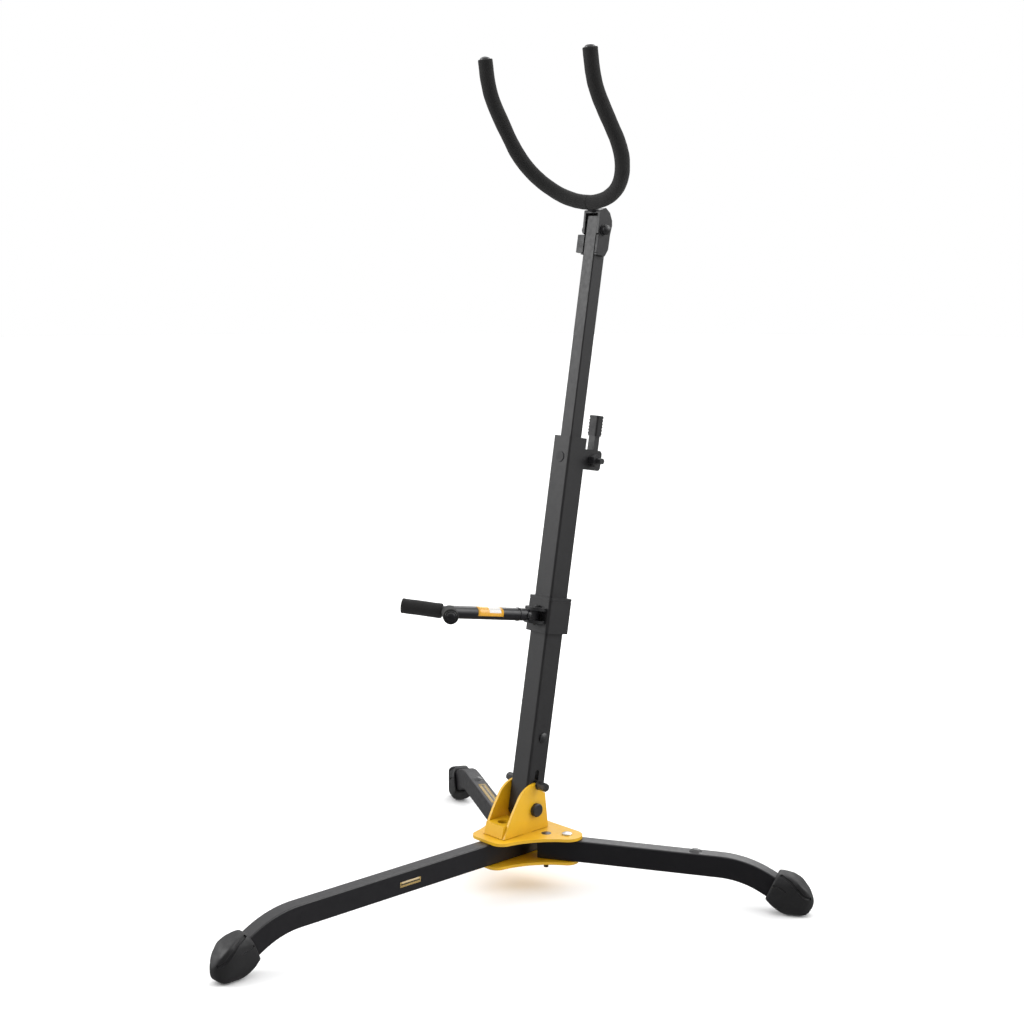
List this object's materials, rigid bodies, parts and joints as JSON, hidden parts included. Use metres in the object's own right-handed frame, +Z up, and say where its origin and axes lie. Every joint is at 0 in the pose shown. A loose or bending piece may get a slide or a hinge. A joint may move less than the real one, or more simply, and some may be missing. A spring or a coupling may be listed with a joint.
{
  "type": "saxophone stand",
  "caption": "Folding tripod stand for a saxophone, with a reclining telescopic column, a swinging padded lower cradle and a padded folding yoke.",
  "frame": {"origin": "on the floor, at the middle of the stand's footprint seen from above", "axes": "+Z up; -Y is the stand's front, where the front leg and the cradle point; +X is on the right as seen from the front, the side with the fold bolt's broad head"},
  "size_m": [0.5394, 0.5322, 0.846],
  "materials": {
    "hub_yellow": "satin powder coat",
    "leg_black": "satin powder coat",
    "column_grey": "satin powder coat",
    "black_hardware": "black oxide",
    "bright_steel": "zinc plated",
    "rubber": "moulded, slightly shiny",
    "gloss_black": "glossy",
    "black_plastic": "moulded",
    "foam": "closed-cell foam, matt",
    "label": "printed film with no lettering"
  },
  "bodies": {
    "hub": {"bottom_plate": "hub_yellow", "top_plate": "hub_yellow", "column_bracket": "hub_yellow", "front_leg": "leg_black", "front_foot": "rubber", "front_leg_bolts": "black_hardware", "leg_pivots": "bright_steel", "detent_plungers": "black_hardware", "detent_covers": "black_hardware", "fold_bolt": "black_hardware", "fold_nut": "black_hardware"},
    "right_leg": {"right_leg": "leg_black", "right_foot": "rubber", "right_leg_sleeve": "bright_steel", "right_leg_button": "black_hardware", "right_leg_bumper": "gloss_black"},
    "left_leg": {"left_leg": "leg_black", "left_foot": "rubber", "left_leg_sleeve": "bright_steel", "left_leg_button": "black_hardware", "left_leg_bumper": "gloss_black"},
    "column": {"column_tube": "column_grey", "fold_sleeve": "bright_steel", "stop_screw": "black_hardware", "collar": "column_grey", "arm_lugs": "black_hardware", "arm_pin": "black_hardware", "mast_bushing": "black_plastic", "clamp_pad": "black_plastic", "clamp_lugs": "column_grey", "clamp_bolt": "black_hardware", "clamp_nut": "black_hardware", "clamp_spacers": "bright_steel"},
    "lock": {"lock_bar": "black_hardware", "lock_knobs": "black_hardware"},
    "arm": {"arm_stem": "leg_black", "stem_ring": "leg_black", "stem_rivet": "black_hardware", "arm_label": "label", "cradle_foam": "foam", "cradle_caps": "gloss_black"},
    "lever": {"clamp_lever": "black_hardware", "lever_grip": "black_plastic"},
    "mast": {"mast": "column_grey", "mast_foot": "black_plastic"},
    "yoke": {"yoke_bracket": "column_grey", "yoke_bolt": "black_hardware", "yoke_nut": "black_hardware", "yoke_latch": "black_plastic", "yoke_rod": "black_hardware", "yoke_foam": "foam", "yoke_caps": "gloss_black"}
  },
  "joints": [
    {"name": "right_leg_fold", "type": "hinge", "parent": "hub", "child": "right_leg", "pos_m": [0.0462, 0.13814, 0.04225], "axis": [0, 0, -1], "range_deg": [0, 119]},
    {"name": "left_leg_fold", "type": "hinge", "parent": "hub", "child": "left_leg", "pos_m": [-0.0462, 0.13814, 0.04225], "axis": [0, 0, 1], "range_deg": [0, 119]},
    {"name": "column_fold", "type": "hinge", "parent": "hub", "child": "column", "pos_m": [0, 0.12194, 0.0795], "axis": [1, 0, 0], "range_deg": [0, 64]},
    {"name": "lock_slide", "type": "slide", "parent": "column", "child": "lock", "axis": [0, 0.1685, 0.9857], "range_m": [-0.0039, 0.008]},
    {"name": "arm_swing", "type": "hinge", "parent": "column", "child": "arm", "pos_m": [0, 0.13688, 0.28086], "axis": [0, 0.1685, 0.9857], "range_deg": [-60, 60]},
    {"name": "lever_turn", "type": "hinge", "parent": "column", "child": "lever", "pos_m": [0, 0.20559, 0.43651], "axis": [-1, 0, 0], "range_deg": [0, 90]},
    {"name": "mast_slide", "type": "slide", "parent": "column", "child": "mast", "axis": [0, 0.1685, 0.9857], "range_m": [-0.18, 0.03]},
    {"name": "yoke_fold", "type": "hinge", "parent": "mast", "child": "yoke", "pos_m": [0, 0.22281, 0.67258], "axis": [-1, 0, 0], "range_deg": [0, 120]}
  ]
}
